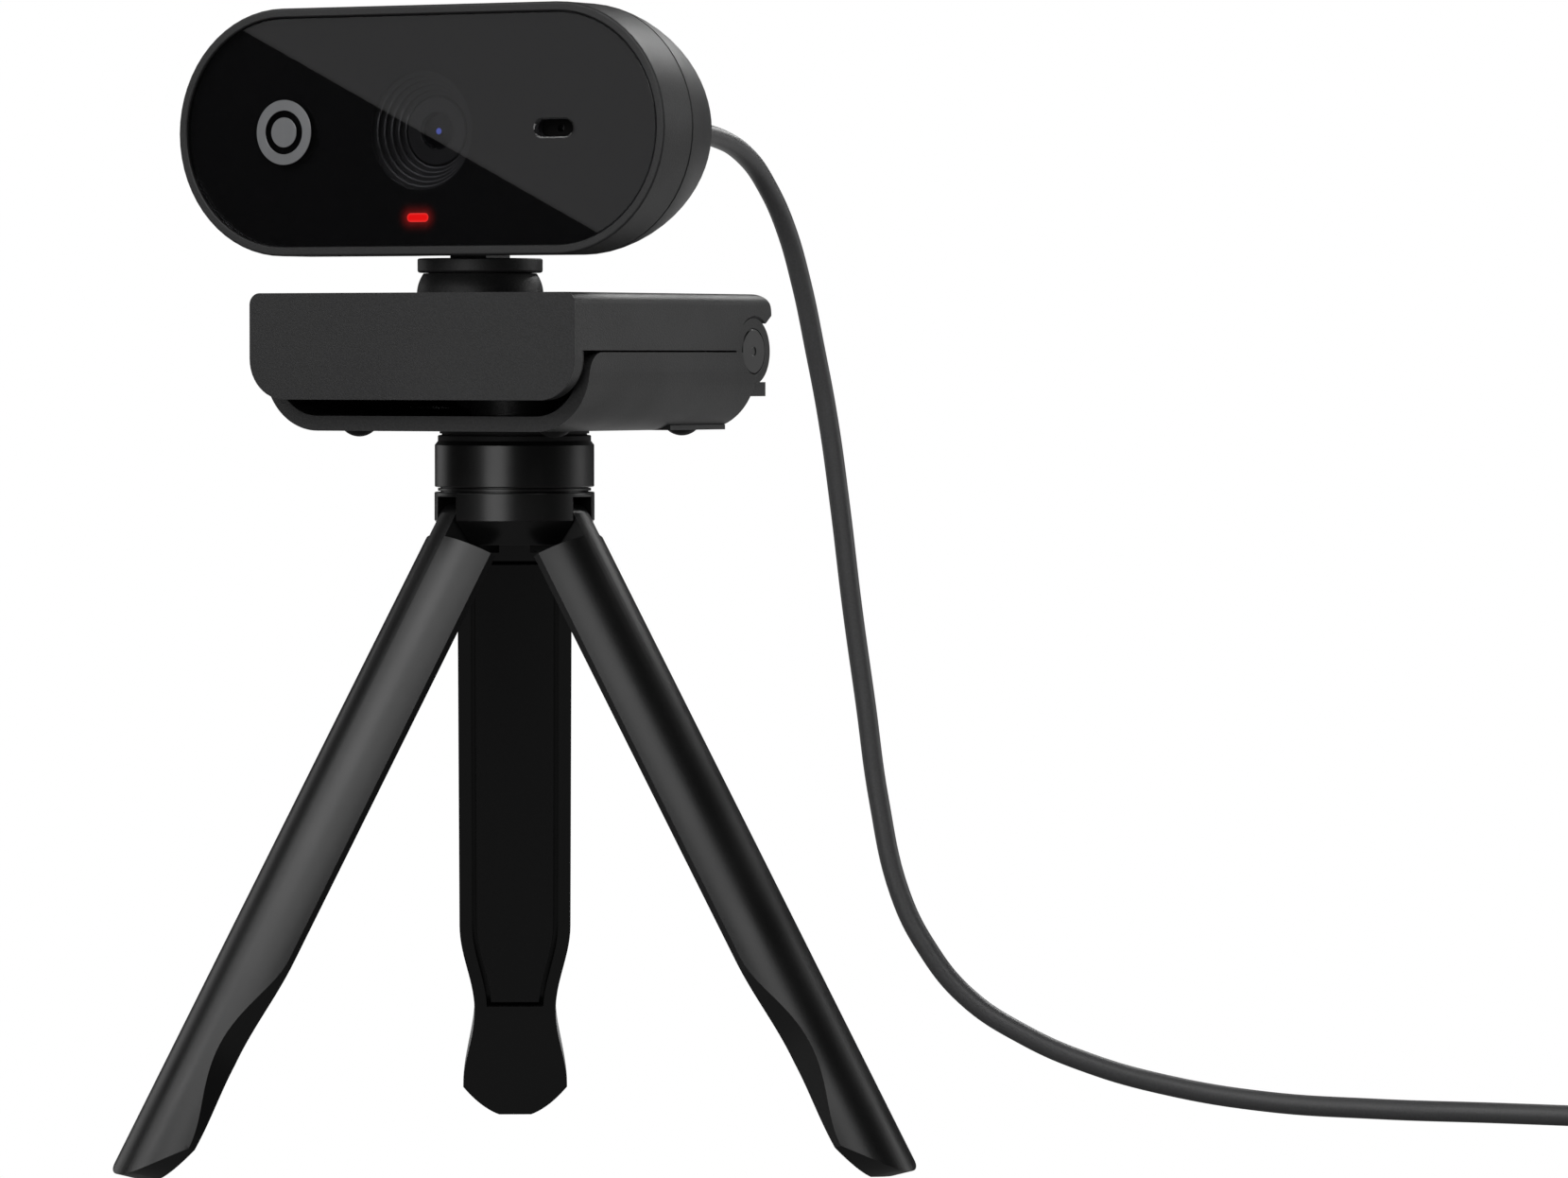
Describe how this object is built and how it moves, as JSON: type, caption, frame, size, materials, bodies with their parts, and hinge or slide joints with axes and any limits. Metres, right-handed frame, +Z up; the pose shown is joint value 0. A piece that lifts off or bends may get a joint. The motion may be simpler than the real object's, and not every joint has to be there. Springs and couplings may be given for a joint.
{
  "type": "webcam on folding tripod",
  "caption": "Stadium-shaped USB webcam with a tilting neck and a spring-free screen clip, screwed to a folding three-leg pocket tripod.",
  "frame": {"origin": "the stand point: on the tripod's own axis, in the plane that its three feet rest on", "axes": "+Z up along the tripod's axis, the webcam looks along -Y, +X is to the right of someone who faces the lens"},
  "size_m": [0.246, 0.1937, 0.1851],
  "materials": {
    "tripod_plastic": "satin black moulded plastic",
    "panel_plastic": "satin black moulded plastic, slightly duller than the leg",
    "matte_plastic": "matt black plastic with a fine spark-eroded texture",
    "rubber": "matt black rubber",
    "steel": "zinc-plated steel",
    "brass": "turned brass",
    "front_glass": "clear polished plate",
    "mask": "gloss black print behind the plate",
    "badge_metal": "bright silver print",
    "lens_glass": "coated glass with a blue-violet tint",
    "sensor": "glossy sensor cover",
    "board": "green solder mask",
    "led": "red translucent light window",
    "cord_jacket": "satin dark grey PVC"
  },
  "bodies": {
    "hub": {"hub": "tripod_plastic", "hub_base": "tripod_plastic", "leg_pins": "steel", "friction_ring": "rubber"},
    "leg_right": {"leg_right": "tripod_plastic", "leg_panel_right": "panel_plastic"},
    "leg_rear": {"leg_rear": "tripod_plastic", "leg_panel_rear": "panel_plastic"},
    "leg_left": {"leg_left": "tripod_plastic", "leg_panel_left": "panel_plastic"},
    "pan_head": {"pan_collar": "tripod_plastic", "pan_screw": "steel", "camera_screw": "steel", "top_pad": "rubber", "lower_jaw": "matte_plastic", "thread_insert": "brass", "jaw_bumps": "rubber", "hinge_pin": "steel", "hinge_caps": "tripod_plastic"},
    "clip_arm": {"upper_jaw": "matte_plastic", "jaw_pad": "rubber", "lip_pad": "rubber", "swivel_base": "matte_plastic"},
    "neck": {"neck_disc": "matte_plastic", "swivel_screw": "steel"},
    "head": {"tilt_pin": "steel", "front_bezel": "matte_plastic", "front_glass": "front_glass", "glass_mask": "mask", "badge": "badge_metal", "lens_well": "matte_plastic", "lens_barrel": "matte_plastic", "lens_glass": "lens_glass", "lens_holder": "matte_plastic", "image_sensor": "sensor", "camera_board": "board", "status_led": "led", "mic_gasket": "rubber", "microphone": "steel", "rear_shell": "matte_plastic", "housing_screws": "steel", "strain_relief": "rubber", "cord": "cord_jacket", "cord_coil": "cord_jacket", "cord_tie": "rubber", "usb_plug": "cord_jacket", "usb_shell": "steel"}
  },
  "joints": [
    {"name": "fold_right", "type": "hinge", "parent": "hub", "child": "leg_right", "pos_m": [0.0094, 0.0003, 0.1025], "axis": [-0.0314, 0.9995, 0], "range_deg": [0, 30]},
    {"name": "fold_rear", "type": "hinge", "parent": "hub", "child": "leg_rear", "pos_m": [-0.00495, 0.00799, 0.1025], "axis": [-0.8499, -0.527, 0], "range_deg": [0, 30]},
    {"name": "fold_left", "type": "hinge", "parent": "hub", "child": "leg_left", "pos_m": [-0.00444, -0.00828, 0.1025], "axis": [0.8813, -0.4726, 0], "range_deg": [0, 30]},
    {"name": "pan", "type": "hinge", "parent": "hub", "child": "pan_head", "pos_m": [0, 0, 0.108], "axis": [0, 0, 1], "continuous": true},
    {"name": "clip_open", "type": "hinge", "parent": "pan_head", "child": "clip_arm", "pos_m": [0, 0.025, 0.1303], "axis": [-1, 0, 0], "range_deg": [0, 60]},
    {"name": "swivel", "type": "hinge", "parent": "clip_arm", "child": "neck", "pos_m": [0, -0.0104, 0.1396], "axis": [0, 0, 1], "range_deg": [-180, 180]},
    {"name": "tilt", "type": "hinge", "parent": "neck", "child": "head", "pos_m": [0, -0.0104, 0.15], "axis": [1, 0, 0], "range_deg": [-15, 15]}
  ]
}
